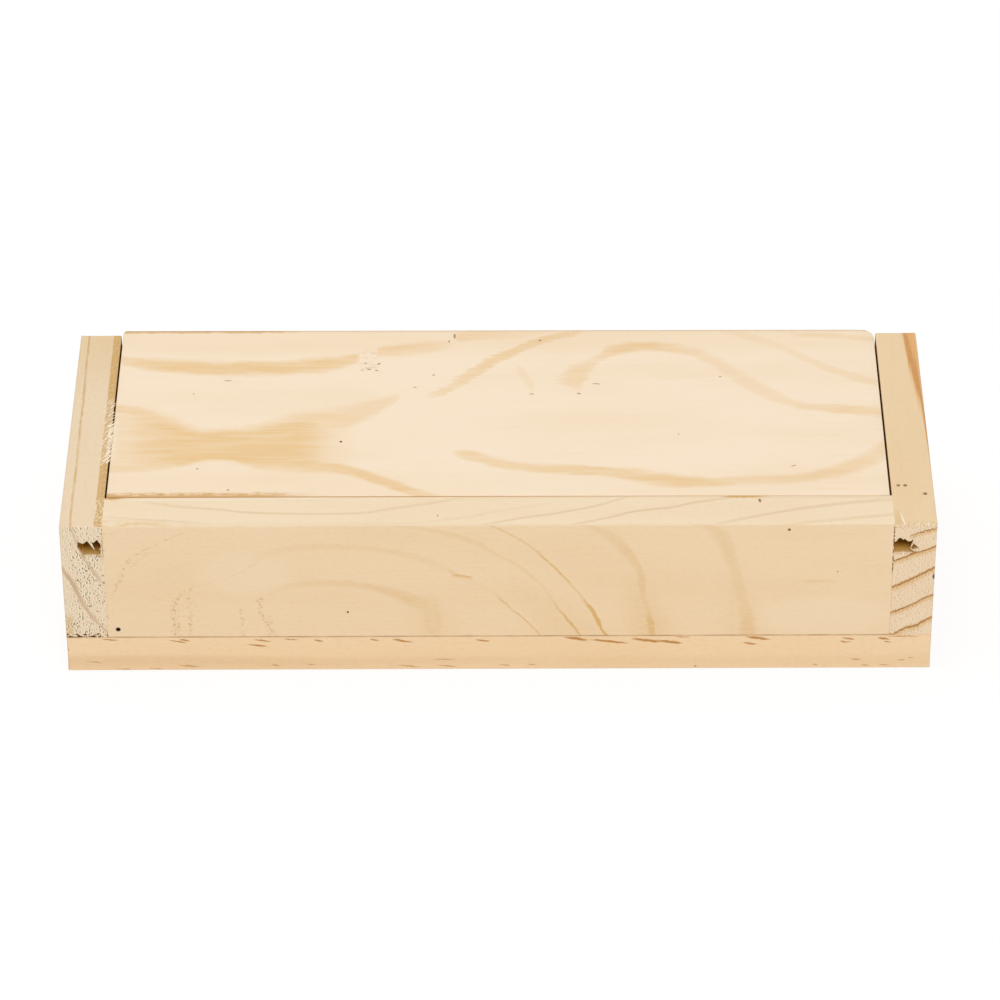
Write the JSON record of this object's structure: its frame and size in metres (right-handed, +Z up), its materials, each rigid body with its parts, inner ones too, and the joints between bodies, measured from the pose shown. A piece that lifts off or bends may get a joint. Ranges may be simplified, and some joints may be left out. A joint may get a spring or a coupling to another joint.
{
  "type": "sliding lid box",
  "caption": "Small bare pine box: five butted boards, and a rabbeted lid that slides out of the back in grooves cut through the end walls.",
  "frame": {"origin": "middle of the whole object in X and Y, lid overhang included, at the flat underside of the base", "axes": "+X to the right along the length, +Y to the back, the way the lid slides out, +Z up"},
  "size_m": [0.216, 0.0842, 0.0455],
  "materials": {
    "lid_pine": "bare, planed, flat sawn",
    "front_pine": "bare, planed",
    "left_wall_pine": "bare, sawn end grain",
    "right_wall_pine": "bare, sawn end grain",
    "base_pine": "bare, planed",
    "brad_steel": "dull"
  },
  "bodies": {
    "box": {"base_board": "base_pine", "left_wall": "left_wall_pine", "right_wall": "right_wall_pine", "front_wall": "front_pine", "back_wall": "front_pine", "left_front_brads": "brad_steel", "right_front_brads": "brad_steel", "left_back_brads": "brad_steel", "right_back_brads": "brad_steel", "base_front_brads": "brad_steel", "base_back_brads": "brad_steel", "base_left_brads": "brad_steel", "base_right_brads": "brad_steel"},
    "lid": {"lid": "lid_pine"}
  },
  "joints": [
    {"name": "lid_slide", "type": "slide", "parent": "box", "child": "lid", "axis": [0, 1, 0], "range_m": [0, 0.073]}
  ]
}
